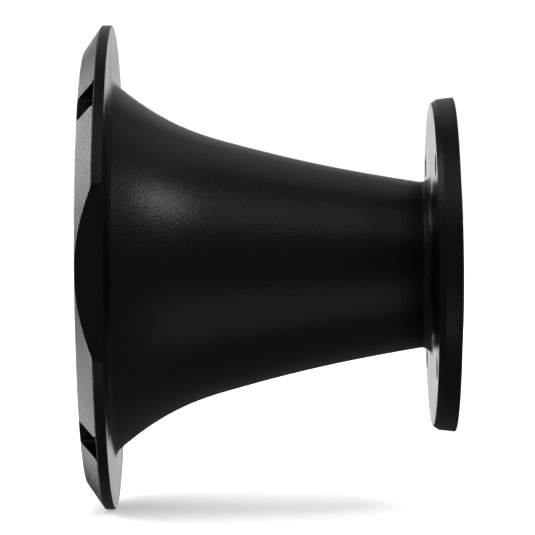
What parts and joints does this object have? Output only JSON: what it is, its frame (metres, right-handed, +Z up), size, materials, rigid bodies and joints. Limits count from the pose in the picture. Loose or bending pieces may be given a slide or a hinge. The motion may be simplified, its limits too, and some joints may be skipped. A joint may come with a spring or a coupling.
{
  "type": "snoot",
  "caption": "Horn-shaped snoot for a studio lamp head: wide bevelled bayonet flange, trumpet body, turning front disc with a drop-in honeycomb grid.",
  "frame": {"origin": "centre of the rear seating plane, on the optical axis, where the lamp head's face lands", "axes": "+X along the optical axis, the way the light leaves; +Z up; the two flats of the rear flange face -Y and +Y"},
  "size_m": [0.1149, 0.1408, 0.15],
  "materials": {
    "textured_black": "black semi-matte powder coat with a fine orange-peel grain, on aluminium",
    "zinc_steel": "bright zinc plate",
    "black_steel": "black oxide, satin",
    "spring_steel": "oiled spring steel",
    "black_anodised": "black anodised aluminium, fine turned satin",
    "black_foil": "matte black coated aluminium foil",
    "brass": "plain brass",
    "felt": "black felt",
    "rubber": "black nitrile rubber",
    "white_pom": "natural acetal",
    "black_pom": "black acetal",
    "nickel": "nickel plate"
  },
  "bodies": {
    "snoot_body": {"horn_shell": "textured_black", "mount_ring": "textured_black", "bayonet_ring": "zinc_steel", "bayonet_ring_screws": "black_steel", "bayonet_stop_pin": "zinc_steel", "light_seal": "felt", "flange_screws": "black_steel", "friction_oring": "rubber", "wave_washer": "spring_steel", "retaining_ring": "spring_steel"},
    "front_ring": {"front_disc": "textured_black", "throat_bushing": "white_pom", "front_cover": "black_anodised", "cover_inserts": "brass", "cover_screws": "black_steel", "magnet_yoke": "zinc_steel", "magnet_carrier": "black_pom", "magnets": "nickel"},
    "grid": {"grid_holder": "black_anodised", "keeper_ring": "zinc_steel", "grid_core": "black_foil", "grid_snap_ring": "spring_steel"}
  },
  "joints": [
    {"name": "front_ring_turn", "type": "hinge", "parent": "snoot_body", "child": "front_ring", "pos_m": [0.107, 0, 0], "axis": [1, 0, 0], "continuous": true},
    {"name": "grid_slide", "type": "slide", "parent": "front_ring", "child": "grid", "axis": [1, 0, 0], "range_m": [0, 0.04]}
  ]
}
